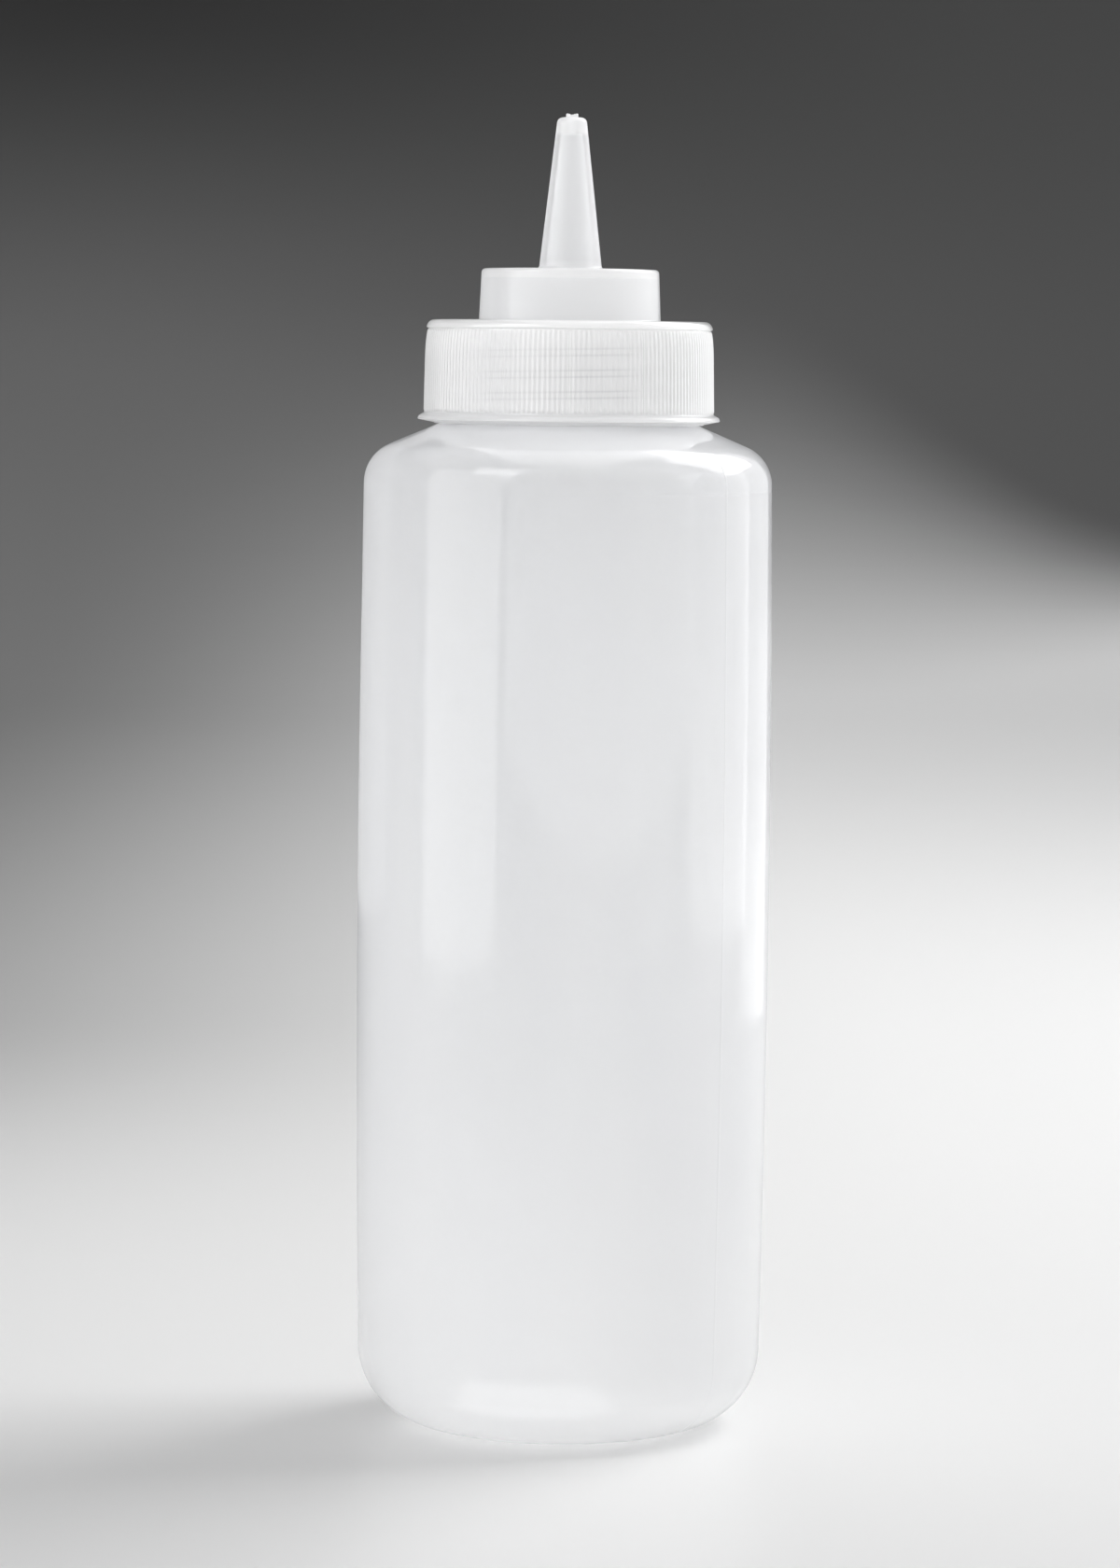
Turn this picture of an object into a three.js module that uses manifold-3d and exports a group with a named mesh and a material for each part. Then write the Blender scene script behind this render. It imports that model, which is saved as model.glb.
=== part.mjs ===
// Squeeze bottle for sauce: a soft blown bottle, a sealing washer and a screw cap with a cone nozzle.
// Millimetres, +Z up. The origin is the centre of the foot ring, on the surface the bottle stands on.
// The camera side of the bottle faces -Y.

import * as THREE from 'three';
import { mergeVertices } from 'three/addons/utils/BufferGeometryUtils.js';
import Module from 'manifold-3d';

const wasm = await Module();
wasm.setup();

// Bottle body
const bellyRadius = 42.12;        // widest radius, at mid height
const footNarrowing = 0.86;       // the side is this much slimmer where the heel starts
const topNarrowing = 0.61;        // and this much slimmer where the shoulder corner starts
const barrelTop = 192.4;          // height at which the straight side ends
const heelRadius = 15.8;
const cornerRadius = 8.6;
const shoulderSlope = THREE.MathUtils.degToRad(23.1);
const wall = 1.1;
const baseWall = 1.6;
const recessRadius = 19;          // dished middle of the base, inside the foot ring
const recessDepth = 3;
const recessRound = 2.4;

// Neck of the bottle
const neckBoreRadius = 23.4;
const neckWall = 1.8;
const neckHeight = 16.7;          // from the foot of the neck to its lip
const neckFillet = 0.9;
const lipRound = 0.5;

// Screw thread, single start, right hand, six turns to the inch
const threadPitch = 25.4 / 6;
const threadHeight = 1.2;
const threadRootWidth = 2.9;
const threadCrestWidth = 1.5;
const threadTurns = 2.8;
const threadLipLand = 0.4;        // plain neck left above the top turn
const threadTopAzimuth = THREE.MathUtils.degToRad(-35);
const threadFade = THREE.MathUtils.degToRad(40);
const threadFadeShare = 0.12;     // height left where a thread starts or stops

// Thread inside the cap
const capThreadRootWidth = 2;
const capThreadCrestWidth = 0.9;
const capThreadTurns = 2.75;
const threadPlay = 0.4;           // neck crest to cap wall
const crestPlay = 0.55;           // cap crest to neck wall
const flankGap = 0.3;             // cap thread to the underside of the neck thread

// Sealing washer, between the lip and the deck of the cap
const washerThickness = 1.2;
const washerInnerRadius = 22.4;
const washerFit = 0.6;            // washer edge to cap wall
const seatGap = 0.3;              // above and below the washer

// Deck and ribbed skirt of the cap
const deckThickness = 2;
const deckCorner = 1.6;
const skirtWall = 2.15;           // at the top, to the root of the ribs
const skirtDraft = 0.33;          // the skirt is this much wider at its foot
const ribCount = 180;
const ribDepth = 0.35;
const ribBacking = 0.25;          // smooth wall that lies under the rib roots
const ribCrown = 5.6;             // height over which the rib tops curve in
const ribCrownInset = 0.6;
const flangeReach = 1.1;          // flange beyond the rib crests
const flangeTip = 0.6;
const flangeRise = 0.4;           // fall of the flange's top face to its tip
const flangeDrop = 0.8;           // rise of its underside from the lip
const lipLand = 0.55;             // flat bottom edge of the cap
const mouthRelief = 0.15;         // the cap's mouth is this much wider than its wall
const mouthDepth = 1.2;
const shoulderGap = 0.33;         // cap edge to bottle shoulder

// Drum and nozzle of the cap
const drumRadius = 18.42;
const drumHeight = 10.4;
const drumDraft = 0.4;
const drumCorner = 0.8;
const drumWall = 1.5;
const drumTopWall = 1.9;
const drumFillet = 0.3;
const nozzleLength = 30.6;
const nozzleBaseRadius = 6.3;
const nozzleTipRadius = 3.05;
const nozzleFillet = 0.9;
const nozzleWall = 1.15;
const tipRound = 0.7;
const tipWall = 2;
const nibRadius = 1.25;
const nibHeight = 0.8;
const orificeRadius = 0.75;

// How finely round shapes are cut
const facets = 48;
const threadSteps = 36;
const barrelSteps = 6;
const arcSteps = 4;
const roundSteps = 2;
const overrun = 0.4;

// Heights and radii that follow from the sizes above
const footRadius = bellyRadius - footNarrowing;
const topRadius = bellyRadius - topNarrowing;
const neckRadius = neckBoreRadius + neckWall;
const slopeRise = Math.tan(shoulderSlope);
const cornerEnd = Math.PI / 2 - shoulderSlope;
const slopeStartRadius = topRadius - cornerRadius + cornerRadius * Math.cos(cornerEnd);
const slopeStartZ = barrelTop + cornerRadius * Math.sin(cornerEnd);
const shoulderZ = (radius) => slopeStartZ + (slopeStartRadius - radius) * slopeRise;
const neckFootZ = shoulderZ(neckRadius);
const lipZ = neckFootZ + neckHeight;

const washerZ = lipZ + seatGap;
const deckUnderZ = washerZ + washerThickness + seatGap;
const deckTopZ = deckUnderZ + deckThickness;
const capBoreRadius = neckRadius + threadHeight + threadPlay;
const mouthRadius = capBoreRadius + mouthRelief;
const capFootZ = shoulderZ(mouthRadius) + shoulderGap;
const flangeUnderZ = capFootZ + flangeDrop;
const flangeTopZ = flangeUnderZ + flangeTip + flangeRise;
const ribTopZ = deckTopZ - deckCorner - ribDepth;
const ribRootRadius = (z) => capBoreRadius + skirtWall + skirtDraft * (ribTopZ - z) / (ribTopZ - flangeTopZ);
const deckEdgeRadius = ribRootRadius(ribTopZ);
const flangeRadius = ribRootRadius(flangeTopZ) + ribDepth + flangeReach;
const drumTopZ = deckTopZ + drumHeight;
const nozzleTopZ = drumTopZ + nozzleLength;

// Profile points. Each profile is a list of [radius, height] pairs that runs anticlockwise.
const arc = (centreR, centreZ, radius, from, to, steps) =>
  Array.from({ length: steps + 1 }, (_, i) => {
    const angle = from + (to - from) * i / steps;
    return [centreR + radius * Math.cos(angle), centreZ + radius * Math.sin(angle)];
  });

// The side of the body is a shallow barrel through three radii
const barrel = (inset, fromZ, toZ, steps) =>
  Array.from({ length: steps - 1 }, (_, i) => {
    const z = fromZ + (toZ - fromZ) * (i + 1) / steps;
    const share = (z - heelRadius) / (barrelTop - heelRadius);
    const radius = footRadius * (1 - share) * (1 - 2 * share)
      + bellyRadius * 4 * share * (1 - share)
      + topRadius * share * (2 * share - 1);
    return [radius - inset, z];
  });

// A closed triangle mesh as a solid, and a solid as a mesh that can be shown
function solidFrom(geometry) {
  const bare = geometry.clone();
  bare.deleteAttribute('normal');
  bare.deleteAttribute('uv');
  const merged = mergeVertices(bare);
  const corners = merged.index.array;
  const kept = [];
  for (let i = 0; i < corners.length; i += 3) {
    const [a, b, c] = [corners[i], corners[i + 1], corners[i + 2]];
    if (a !== b && b !== c && c !== a) kept.push(a, b, c);
  }
  return new wasm.Manifold(new wasm.Mesh({
    numProp: 3,
    vertProperties: new Float32Array(merged.attributes.position.array),
    triVerts: new Uint32Array(kept),
  }));
}

function geometryFrom(solid) {
  const mesh = solid.getMesh();
  const geometry = new THREE.BufferGeometry();
  geometry.setAttribute('position', new THREE.Float32BufferAttribute(mesh.vertProperties, 3));
  geometry.setIndex(new THREE.BufferAttribute(mesh.triVerts, 1));
  geometry.computeVertexNormals();
  return geometry;
}

// A profile turned once round the vertical axis
function turned(profile) {
  const points = profile.map(([radius, z]) => new THREE.Vector2(Math.max(radius, 0), z));
  return solidFrom(new THREE.LatheGeometry(points, facets).rotateX(Math.PI / 2));
}

// A four-sided ridge that climbs round the vertical axis and fades out at both ends.
// The root is sunk into the wall that carries it; a ridge that points inwards has tip < root.
function screwRidge({ root, tip, rootWidth, tipWidth, topZ, topAzimuth, turns }) {
  const steps = Math.round(turns * threadSteps);
  const reach = tip - root;
  const sunk = root - Math.sign(reach) * overrun;
  const positions = [];
  for (let i = 0; i <= steps; i++) {
    const back = turns * (1 - i / steps);
    const azimuth = topAzimuth - back * 2 * Math.PI;
    const z = topZ - back * threadPitch;
    const toEnd = Math.min(back, turns - back) * 2 * Math.PI;
    const fade = Math.min(1, threadFadeShare + (1 - threadFadeShare) * toEnd / threadFade);
    const crest = [root + reach * fade, tipWidth / 2 + (rootWidth - tipWidth) / 2 * (1 - fade)];
    const inner = reach > 0 ? [sunk, rootWidth / 2] : crest;
    const outer = reach > 0 ? crest : [sunk, rootWidth / 2];
    const section = [[inner[0], -inner[1]], [outer[0], -outer[1]], [outer[0], outer[1]], [inner[0], inner[1]]];
    for (const [radius, rise] of section) {
      positions.push(radius * Math.cos(azimuth), radius * Math.sin(azimuth), z + rise);
    }
  }
  const index = [0, 1, 2, 0, 2, 3];
  for (let i = 0; i < steps; i++) {
    for (let side = 0; side < 4; side++) {
      const a = 4 * i + side;
      const b = 4 * i + (side + 1) % 4;
      index.push(a, a + 4, b + 4, a, b + 4, b);
    }
  }
  const last = 4 * steps;
  index.push(last, last + 2, last + 1, last, last + 3, last + 2);
  const geometry = new THREE.BufferGeometry();
  geometry.setAttribute('position', new THREE.Float32BufferAttribute(positions, 3));
  geometry.setIndex(index);
  return solidFrom(geometry);
}

// Centre height of the neck thread's top end, and how far the cap's thread rides below it
const threadTopZ = lipZ - threadLipLand - threadRootWidth / 2;
const meshRadius = (neckRadius + crestPlay + neckRadius + threadHeight) / 2;
const neckShare = (meshRadius - neckRadius) / threadHeight;
const neckHalfWidth = (threadRootWidth + (threadCrestWidth - threadRootWidth) * neckShare) / 2;
const capThreadHeight = capBoreRadius - neckRadius - crestPlay;
const capShare = (capBoreRadius - meshRadius) / capThreadHeight;
const capHalfWidth = (capThreadRootWidth + (capThreadCrestWidth - capThreadRootWidth) * capShare) / 2;
const capThreadDrop = neckHalfWidth + capHalfWidth + flankGap;

function bottleGeometry() {
  const recessRim = Math.min(recessRound, recessDepth / 2);
  const outside = [
    [0, recessDepth],
    ...arc(recessRadius - 2 * recessRim, recessDepth - recessRim, recessRim, Math.PI / 2, 0, roundSteps),
    ...arc(recessRadius, recessRim, recessRim, Math.PI, 1.5 * Math.PI, roundSteps),
    ...arc(footRadius - heelRadius, heelRadius, heelRadius, -Math.PI / 2, 0, arcSteps + 1),
    ...barrel(0, heelRadius, barrelTop, barrelSteps),
    ...arc(topRadius - cornerRadius, barrelTop, cornerRadius, 0, cornerEnd, arcSteps),
    [neckRadius + neckFillet, shoulderZ(neckRadius + neckFillet)],
    [neckRadius, neckFootZ + neckFillet * (1 - slopeRise)],
    ...arc(neckRadius - lipRound, lipZ - lipRound, lipRound, 0, Math.PI / 2, roundSteps),
  ];
  // The inside follows the outside at the wall's thickness
  const slopeInset = wall / Math.cos(shoulderSlope);
  const inside = [
    ...arc(neckBoreRadius + lipRound, lipZ - lipRound, lipRound, Math.PI / 2, Math.PI, roundSteps),
    [neckBoreRadius, shoulderZ(neckBoreRadius) - slopeInset + neckFillet],
    [neckBoreRadius + neckFillet, shoulderZ(neckBoreRadius + neckFillet) - slopeInset],
    ...arc(topRadius - cornerRadius, barrelTop, cornerRadius - wall, cornerEnd, 0, arcSteps),
    ...barrel(wall, barrelTop, heelRadius, barrelSteps),
    ...arc(footRadius - heelRadius, heelRadius, heelRadius - wall, 0, -Math.PI / 2 + shoulderSlope, arcSteps),
    [recessRadius + recessRim, baseWall],
    [recessRadius - recessRim, recessDepth + baseWall],
    [0, recessDepth + baseWall],
  ];
  const thread = screwRidge({
    root: neckRadius,
    tip: neckRadius + threadHeight,
    rootWidth: threadRootWidth,
    tipWidth: threadCrestWidth,
    topZ: threadTopZ,
    topAzimuth: threadTopAzimuth,
    turns: threadTurns,
  });
  return geometryFrom(turned([...outside, ...inside]).add(thread));
}

function washerGeometry() {
  const outer = capBoreRadius - washerFit;
  const top = washerZ + washerThickness;
  const ring = [
    [washerInnerRadius, washerZ],
    [outer, washerZ],
    [outer, top],
    [washerInnerRadius, top],
    [washerInnerRadius, washerZ],
  ];
  return geometryFrom(turned(ring));
}

// Upright grip ribs round the skirt, as one toothed ring whose tops curve in to the deck's corner
function gripRibs() {
  const crownStartZ = ribTopZ - ribCrown;
  const crownShares = [0, 0.75, 1];
  const levels = [[flangeTopZ - flangeRise, 0]];
  for (const share of crownShares) {
    const inset = ribCrownInset * (1 - Math.sqrt(1 - share * share));
    levels.push([crownStartZ + ribCrown * share, inset]);
  }
  const teeth = 2 * ribCount;
  const innerRadius = capBoreRadius + skirtWall / 2;
  const rings = [
    { z: levels[0][0], root: innerRadius, crest: innerRadius },
    ...levels.map(([z, inset]) => {
      const crest = ribRootRadius(z) + ribDepth - inset;
      return { z, crest, root: Math.min(ribRootRadius(z), crest) - inset * ribDepth / ribCrownInset / 2 };
    }),
    { z: ribTopZ, root: innerRadius, crest: innerRadius },
  ];
  const positions = [];
  for (const ring of rings) {
    for (let i = 0; i < teeth; i++) {
      const azimuth = Math.PI * i / ribCount;
      const radius = i % 2 ? ring.root : ring.crest;
      positions.push(radius * Math.cos(azimuth), radius * Math.sin(azimuth), ring.z);
    }
  }
  const index = [];
  for (let level = 0; level < rings.length; level++) {
    const above = (level + 1) % rings.length;
    for (let i = 0; i < teeth; i++) {
      const next = (i + 1) % teeth;
      const [a, b] = [level * teeth + i, level * teeth + next];
      const [c, d] = [above * teeth + next, above * teeth + i];
      index.push(a, b, c, a, c, d);
    }
  }
  const geometry = new THREE.BufferGeometry();
  geometry.setAttribute('position', new THREE.Float32BufferAttribute(positions, 3));
  geometry.setIndex(index);
  return solidFrom(geometry);
}

function capGeometry() {
  const coreFoot = ribRootRadius(flangeTopZ) - ribBacking;
  const coreTop = deckEdgeRadius - ribBacking - ribDepth;
  const drumTopRadius = drumRadius - drumDraft;
  const boreEndZ = nozzleTopZ - tipWall;
  const coneShare = (boreEndZ - drumTopZ) / nozzleLength;
  const boreEndRadius = nozzleBaseRadius + (nozzleTipRadius - nozzleBaseRadius) * coneShare - nozzleWall;
  const outside = [
    [mouthRadius, capFootZ],
    [mouthRadius + lipLand, capFootZ],
    [flangeRadius, flangeUnderZ],
    [flangeRadius, flangeUnderZ + flangeTip],
    [coreFoot, flangeTopZ],
    [coreTop, ribTopZ - ribDepth],
    [deckEdgeRadius, ribTopZ - ribDepth],
    ...arc(deckEdgeRadius - deckCorner, deckTopZ - deckCorner, deckCorner, 0, Math.PI / 2, arcSteps - 1),
    [drumRadius + drumFillet, deckTopZ],
    [drumRadius, deckTopZ + drumFillet],
    ...arc(drumTopRadius - drumCorner, drumTopZ - drumCorner, drumCorner, 0, Math.PI / 2, roundSteps + 1),
    ...arc(nozzleBaseRadius + nozzleFillet, drumTopZ + nozzleFillet, nozzleFillet, 1.5 * Math.PI, Math.PI, roundSteps),
    ...arc(nozzleTipRadius - tipRound, nozzleTopZ - tipRound, tipRound, 0, Math.PI / 2, roundSteps),
    [nibRadius, nozzleTopZ],
    [nibRadius, nozzleTopZ + nibHeight],
  ];
  const inside = [
    [orificeRadius, nozzleTopZ + nibHeight],
    [orificeRadius, boreEndZ],
    [boreEndRadius, boreEndZ],
    [nozzleBaseRadius - nozzleWall, drumTopZ],
    [nozzleBaseRadius - nozzleWall + drumTopWall / 2, drumTopZ - drumTopWall],
    [drumTopRadius - drumWall, drumTopZ - drumTopWall],
    [drumRadius - drumWall, deckUnderZ],
    [capBoreRadius, deckUnderZ],
    [capBoreRadius, capFootZ + mouthDepth],
    [mouthRadius, capFootZ],
  ];
  const topCentreZ = washerZ - seatGap - capThreadRootWidth / 2;
  const riseOverNeck = topCentreZ + capThreadDrop - threadTopZ;
  const thread = screwRidge({
    root: capBoreRadius,
    tip: capBoreRadius - capThreadHeight,
    rootWidth: capThreadRootWidth,
    tipWidth: capThreadCrestWidth,
    topZ: topCentreZ,
    topAzimuth: threadTopAzimuth + 2 * Math.PI * riseOverNeck / threadPitch,
    turns: capThreadTurns,
  });
  return geometryFrom(turned([...outside, ...inside]).add(gripRibs()).add(thread));
}

function piece(name, geometry, color, roughness) {
  const material = new THREE.MeshStandardMaterial({ color, roughness, metalness: 0 });
  const mesh = new THREE.Mesh(geometry, material);
  mesh.name = name;
  return mesh;
}

const squeezeBottle = new THREE.Group();
squeezeBottle.add(piece('bottle', bottleGeometry(), 0xe6e8ec, 0.35));
squeezeBottle.add(piece('sealing_washer', washerGeometry(), 0xf4f4f2, 0.6));
squeezeBottle.add(piece('nozzle_cap', capGeometry(), 0xf0f1f4, 0.3));

export default squeezeBottle;
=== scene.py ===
# %% [markdown]
# A litre squeeze bottle for sauce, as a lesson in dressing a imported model.
# The real thing is two mouldings of milky plastic: a thin blown bottle, and a screw cap whose
# skirt, deck, drum and cone nozzle are one piece. A soft washer lies hidden between them.
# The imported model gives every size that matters. This script makes the fine surfaces round it.

# %% Load the frame
import math

import bpy
import numpy as np
from mathutils import Matrix, Vector


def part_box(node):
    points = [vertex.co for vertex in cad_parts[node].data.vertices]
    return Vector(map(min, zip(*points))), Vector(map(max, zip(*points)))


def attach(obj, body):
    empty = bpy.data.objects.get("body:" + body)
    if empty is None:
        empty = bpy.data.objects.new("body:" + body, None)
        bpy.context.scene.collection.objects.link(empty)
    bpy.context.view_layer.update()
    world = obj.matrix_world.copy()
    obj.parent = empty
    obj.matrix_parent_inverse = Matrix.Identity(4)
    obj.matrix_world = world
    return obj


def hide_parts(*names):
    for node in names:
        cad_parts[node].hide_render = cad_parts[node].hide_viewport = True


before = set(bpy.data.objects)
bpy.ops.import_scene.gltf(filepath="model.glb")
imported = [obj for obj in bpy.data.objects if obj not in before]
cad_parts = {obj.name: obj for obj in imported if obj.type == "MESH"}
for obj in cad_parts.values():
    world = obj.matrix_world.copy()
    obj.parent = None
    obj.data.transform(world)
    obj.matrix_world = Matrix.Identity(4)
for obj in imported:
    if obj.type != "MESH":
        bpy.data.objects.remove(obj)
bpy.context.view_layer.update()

# %% [markdown]
# The frame gives the widest side, the lip, the cap's flange and the washer.
# The walls, threads and edges between them are real sizes in metres, as the maker would quote them.
# A thread is given by its pitch, its height, its width at root and crest, and how many turns it
# runs. Both threads run out over a tenth of a turn, where the cutter of the mould left the metal.

# %% Sizes
bottle_low, bottle_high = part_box("bottle")
cap_low, cap_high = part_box("nozzle_cap")
washer_low, washer_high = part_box("sealing_washer")

BELLY = bottle_high.x
LIP_Z = bottle_high.z
FOOT_NARROWING = 0.00086
TOP_NARROWING = 0.00061
BARREL_TOP = 0.1924
HEEL = 0.0158
CORNER = 0.0086
SLOPE = math.radians(23.1)
WALL = 0.0011
BASE_WALL = 0.0016
RECESS_RADIUS = 0.019
RECESS_DEPTH = 0.003
NECK_BORE = 0.0234
NECK = 0.0252
SEAM_AZIMUTH = math.radians(-40.7)
INSERT_LINE_Z = 0.1914

THREAD_PITCH = 0.0254 / 6
THREAD_HEIGHT = 0.0012
THREAD_ROOT = 0.0029
THREAD_CREST = 0.0015
THREAD_TOP = LIP_Z - 0.0004 - THREAD_ROOT / 2
THREAD_AZIMUTH = math.radians(-178.5)
THREAD_TURNS = 2.8
RUN_OUT = 0.11

FLANGE = cap_high.x
CAP_FOOT = cap_low.z
CAP_BORE = NECK + THREAD_HEIGHT + 0.0004
SEAT_GAP = 0.0003
DECK_UNDER = washer_high.z + SEAT_GAP
DECK_TOP = DECK_UNDER + 0.002
DRUM = 0.01842
DRUM_TOP = DECK_TOP + 0.0104
DRUM_ROOF = 0.0019
NIB_HEIGHT = 0.0008
NOZZLE_TOP = cap_high.z - NIB_HEIGHT
NOZZLE_PLUG = 0.0034

CAP_THREAD_HEIGHT = 0.00105
CAP_THREAD_ROOT = 0.002
CAP_THREAD_CREST = 0.0009
CAP_THREAD_TOP = washer_low.z - SEAT_GAP - CAP_THREAD_ROOT / 2
CAP_THREAD_AZIMUTH = math.radians(46.5)
CAP_THREAD_TURNS = 2.75

FOOT_RADIUS = BELLY - FOOT_NARROWING
TOP_RADIUS = BELLY - TOP_NARROWING
CORNER_END = math.pi / 2 - SLOPE
SLOPE_R = TOP_RADIUS - CORNER + CORNER * math.cos(CORNER_END)
SLOPE_Z = BARREL_TOP + CORNER * math.sin(CORNER_END)


def shoulder_z(radius):
    """Height of the cone shoulder at a radius."""
    return SLOPE_Z + (SLOPE_R - radius) * math.tan(SLOPE)


print("body", round(2 * BELLY, 4), "lip", round(LIP_Z, 4), "deck", round(DECK_TOP, 4))

# %% [markdown]
# Camera first, because everything later is judged through it.
# The photograph was taken from the height of the cap, about 1.1 m away, with a long lens
# tipped down a little. The bottle leans in the picture, so the camera is rolled to share the lean.

# %% Camera
PICTURE_LONG_SIDE = 1680
FOCAL_PIXELS = 5786
SENSOR_MM = 36
CAMERA_DISTANCE = 1.1
EYE_LEVEL = 0.219
TIP_DOWN = math.radians(4.563)
ROLL = math.radians(0.65)
ASIDE = -0.00093

lens = bpy.data.cameras.new("photo_camera")
lens.sensor_width = SENSOR_MM
lens.lens = SENSOR_MM * FOCAL_PIXELS / PICTURE_LONG_SIDE
camera = bpy.data.objects.new("photo_camera", lens)
camera.location = (ASIDE, -CAMERA_DISTANCE, EYE_LEVEL)
aim = Matrix.Rotation(math.pi / 2 - TIP_DOWN, 3, "X") @ Matrix.Rotation(ROLL, 3, "Z")
camera.rotation_euler = aim.to_euler()
bpy.context.scene.collection.objects.link(camera)
bpy.context.scene.camera = camera
bpy.context.scene.view_settings.view_transform = "Standard"
print("lens", round(lens.lens, 1), "mm")

# %% [markdown]
# Node trees are easier to read when sums look like sums. A Number wraps a socket, so that
# `a * b + c` builds the Math nodes. The same helper serves geometry trees and materials.

# %% Sums as nodes
class Number:
    """One number that varies over a shape: a node socket that takes part in sums."""

    def __init__(self, tree, socket):
        self.tree, self.socket = tree, socket

    def make(self, operation, *others):
        return maths(self.tree, operation, self, *others)

    def __add__(self, other):
        return self.make("ADD", other)

    def __sub__(self, other):
        return self.make("SUBTRACT", other)

    def __mul__(self, other):
        return self.make("MULTIPLY", other)

    def __truediv__(self, other):
        return self.make("DIVIDE", other)

    def __rsub__(self, other):
        return maths(self.tree, "SUBTRACT", other, self)

    def __rtruediv__(self, other):
        return maths(self.tree, "DIVIDE", other, self)

    __radd__ = __add__
    __rmul__ = __mul__

    def size(self):
        return self.make("ABSOLUTE")

    def over(self, other):
        """1 where the number is greater than other, and 0 elsewhere."""
        return self.make("GREATER_THAN", other)

    def under(self, other):
        return self.make("LESS_THAN", other)


def feed(tree, slot, value):
    if isinstance(value, Number):
        tree.links.new(value.socket, slot)
    elif isinstance(value, bpy.types.NodeSocket):
        tree.links.new(value, slot)
    else:
        slot.default_value = value


def maths(tree, operation, *values):
    node = tree.nodes.new("ShaderNodeMath")
    node.operation = operation
    for slot, value in zip(node.inputs, values):
        feed(tree, slot, value)
    return Number(tree, node.outputs[0])


def ramp(tree, value, start, end, low=0.0, high=1.0):
    """Goes smoothly from low to high while value goes from start to end, and stays there."""
    node = tree.nodes.new("ShaderNodeMapRange")
    node.interpolation_type = "SMOOTHSTEP"
    settings = {"Value": value, "From Min": start, "From Max": end, "To Min": low, "To Max": high}
    for label, setting in settings.items():
        feed(tree, node.inputs[label], setting)
    return Number(tree, node.outputs[0])


def between(tree, value, low, high, blur):
    """1 between low and high, 0 outside them, with a soft step of width blur inside each end."""
    return ramp(tree, value, low, low + blur) * ramp(tree, value, high, high - blur)


def parts(tree, vector):
    """The three parts of a direction or place, as numbers."""
    node = tree.nodes.new("ShaderNodeSeparateXYZ")
    tree.links.new(vector, node.inputs[0])
    return [Number(tree, socket) for socket in node.outputs]


def from_axis(x, y):
    return (x * x + y * y).make("SQRT")


def from_upright_plane(x, y, azimuth):
    """Distance from the plane that holds the object's axis and stands at an azimuth."""
    return (x * azimuth.make("SINE") - y * azimuth.make("COSINE")).size()


print("sums ready")

# %% [markdown]
# Threads, grip ribs and the mould's parting line are all reliefs: the surface stands out by an
# amount that follows a rule of azimuth and height. So each is one Geometry Nodes tree that moves
# the points of a finely cut turned shape. That keeps each moulding a single closed skin.

# %% A relief as a geometry tree
def relief_tree(name, inputs, rule, along_normal=False):
    """Moves points outward, or along their normals, by what rule works out. Every rule gets the
    tree, its own named sizes, and the point's place, radius and azimuth."""
    tree = bpy.data.node_groups.new(name, "GeometryNodeTree")
    tree.interface.new_socket("Geometry", in_out="INPUT", socket_type="NodeSocketGeometry")
    for label in inputs:
        tree.interface.new_socket(label, in_out="INPUT", socket_type="NodeSocketFloat")
    tree.interface.new_socket("Material", in_out="INPUT", socket_type="NodeSocketMaterial")
    tree.interface.new_socket("Geometry", in_out="OUTPUT", socket_type="NodeSocketGeometry")
    source = tree.nodes.new("NodeGroupInput")
    given = {label: Number(tree, source.outputs[label]) for label in inputs}
    x, y, z = parts(tree, tree.nodes.new("GeometryNodeInputPosition").outputs[0])
    radius = from_axis(x, y)
    height = rule(tree, given, x, y, z, radius, y.make("ARCTAN2", x))
    move = tree.nodes.new("ShaderNodeVectorMath")
    move.operation = "SCALE"
    if along_normal:
        tree.links.new(tree.nodes.new("GeometryNodeInputNormal").outputs[0], move.inputs[0])
        feed(tree, move.inputs["Scale"], height)
    else:
        outward = tree.nodes.new("ShaderNodeCombineXYZ")
        feed(tree, outward.inputs[0], x)
        feed(tree, outward.inputs[1], y)
        tree.links.new(outward.outputs[0], move.inputs[0])
        feed(tree, move.inputs["Scale"], height / radius)
    shift = tree.nodes.new("GeometryNodeSetPosition")
    realize = tree.nodes.new("GeometryNodeRealizeInstances")
    finish = tree.nodes.new("GeometryNodeSetMaterial")
    result = tree.nodes.new("NodeGroupOutput")
    tree.links.new(source.outputs["Geometry"], shift.inputs["Geometry"])
    tree.links.new(move.outputs[0], shift.inputs["Offset"])
    tree.links.new(shift.outputs[0], realize.inputs[0])
    tree.links.new(realize.outputs[0], finish.inputs["Geometry"])
    tree.links.new(source.outputs["Material"], finish.inputs["Material"])
    tree.links.new(finish.outputs[0], result.inputs[0])
    return tree


def press(piece, tree, material, **values):
    """Puts a tree on a piece with its named sizes, and keeps the result as a plain mesh."""
    modifier = piece.modifiers.new(tree.name, "NODES")
    modifier.node_group = tree
    for item in tree.interface.items_tree:
        if item.in_out == "INPUT" and item.name in values:
            modifier[item.identifier] = float(values[item.name])
        elif item.in_out == "INPUT" and item.name == "Material":
            modifier[item.identifier] = material
    ready = piece.evaluated_get(bpy.context.evaluated_depsgraph_get())
    mesh = bpy.data.meshes.new_from_object(ready)
    piece.modifiers.clear()
    piece.data = mesh
    return piece


ON_WALL = 0.00005


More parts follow.
